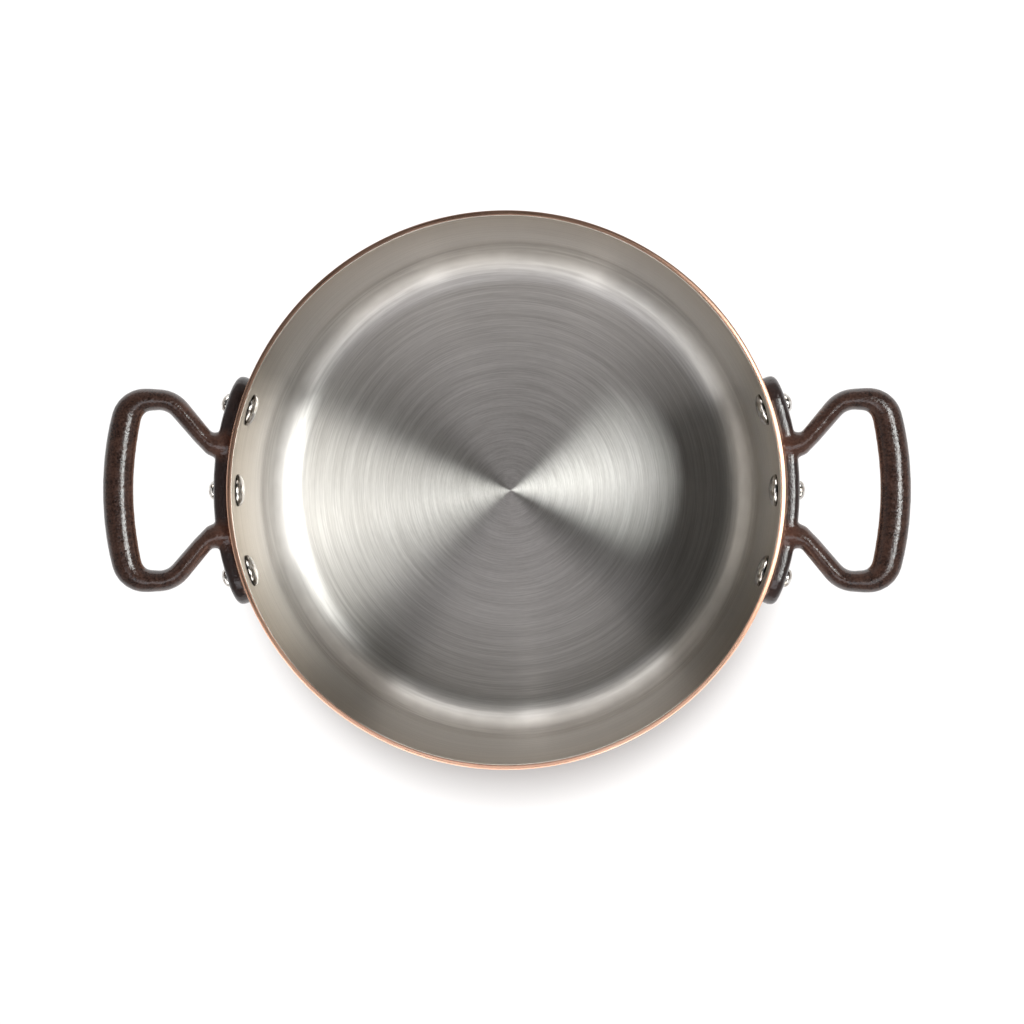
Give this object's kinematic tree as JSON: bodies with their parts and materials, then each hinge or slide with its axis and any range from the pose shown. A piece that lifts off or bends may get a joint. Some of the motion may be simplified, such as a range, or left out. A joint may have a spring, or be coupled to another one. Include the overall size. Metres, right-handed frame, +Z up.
{
  "type": "two-handled stewpan",
  "caption": "Round straight-sided copper stewpan with a bonded brushed steel lining, a flat cut rim and riveted cast-iron loop handles on opposite sides, for cooking on a stove.",
  "frame": {"origin": "centre of the flat base, on the surface that the pan stands on", "axes": "+Z up along the pan's axis, X through the two handles"},
  "size_m": [0.2966, 0.204, 0.107],
  "materials": {
    "copper": "satin polished copper",
    "lining": "brushed in circles round the axis",
    "handle": "fine grained casting, dark brown",
    "rivet": "polished"
  },
  "bodies": {
    "root": {"copper_shell": "copper", "steel_lining": "lining", "handle_right": "handle", "handle_left": "handle", "rivet_right_1": "rivet", "rivet_right_2": "rivet", "rivet_right_3": "rivet", "rivet_left_1": "rivet", "rivet_left_2": "rivet", "rivet_left_3": "rivet"}
  },
  "joints": []
}
